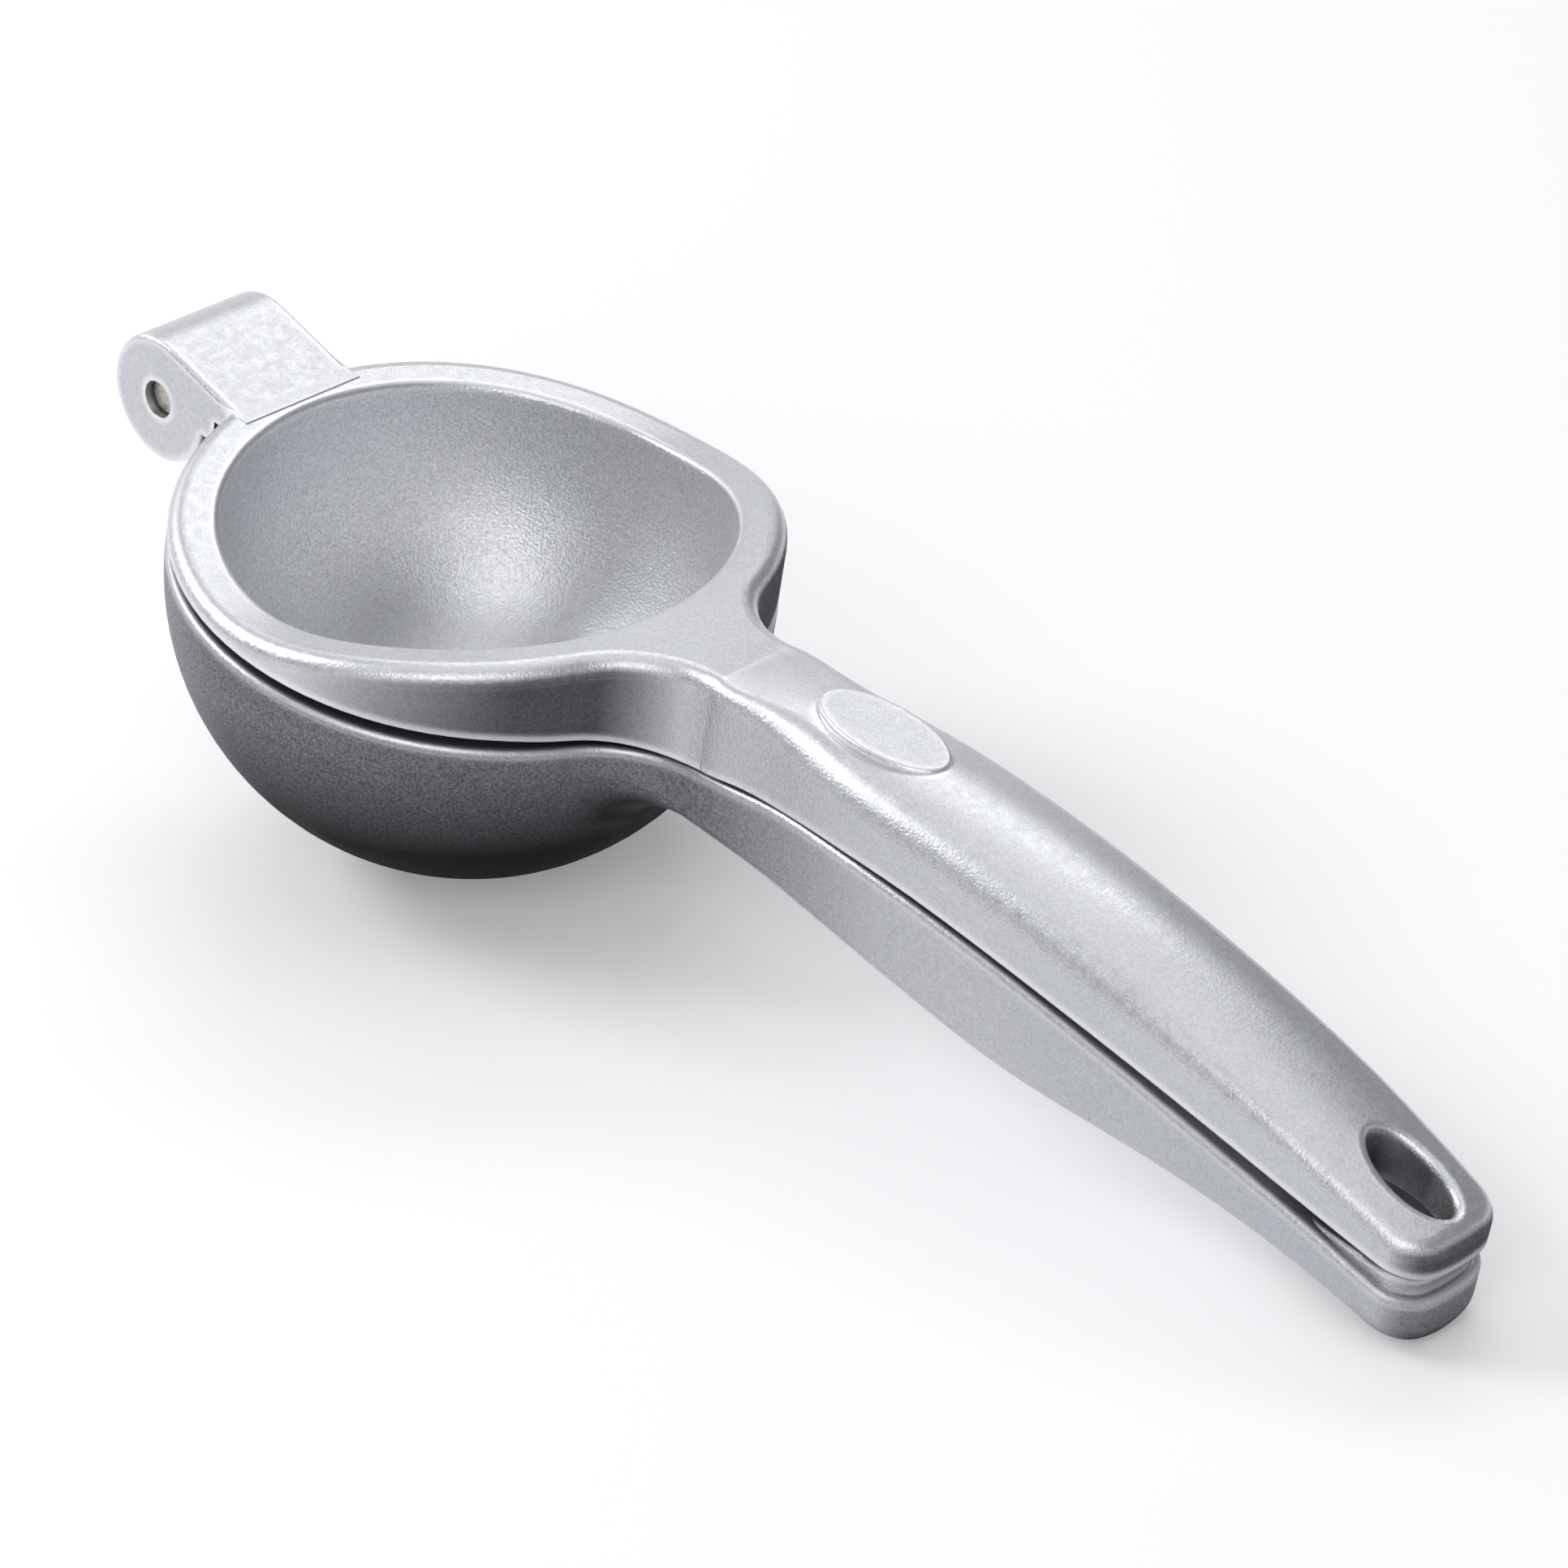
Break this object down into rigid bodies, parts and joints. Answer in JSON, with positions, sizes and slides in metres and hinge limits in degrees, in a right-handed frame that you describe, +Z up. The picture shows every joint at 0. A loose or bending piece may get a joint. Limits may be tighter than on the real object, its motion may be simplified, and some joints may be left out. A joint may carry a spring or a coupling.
{
  "type": "hinged lemon squeezer",
  "caption": "Hand-held hinged citrus squeezer in cast aluminium: perforated half-ball bowl, hollow half-ball presser, two long handles and a hanging hole.",
  "frame": {"origin": "centre of the small flat under the bowl that the closed squeezer lies on", "axes": "+X towards the tip of the handles, +Y across, +Z up from the table; the hinge axis runs along Y"},
  "size_m": [0.2185, 0.0758, 0.0563],
  "materials": {
    "upper_casting": "satin",
    "lower_casting": "satin",
    "pin_steel": "brushed"
  },
  "bodies": {
    "lower": {"lower_lever": "lower_casting"},
    "upper": {"upper_lever": "upper_casting", "hinge_pin": "pin_steel"}
  },
  "joints": [
    {"name": "hinge", "type": "hinge", "parent": "lower", "child": "upper", "pos_m": [-0.04851, 0, 0.04777], "axis": [0, -1, 0], "range_deg": [0, 120]}
  ]
}
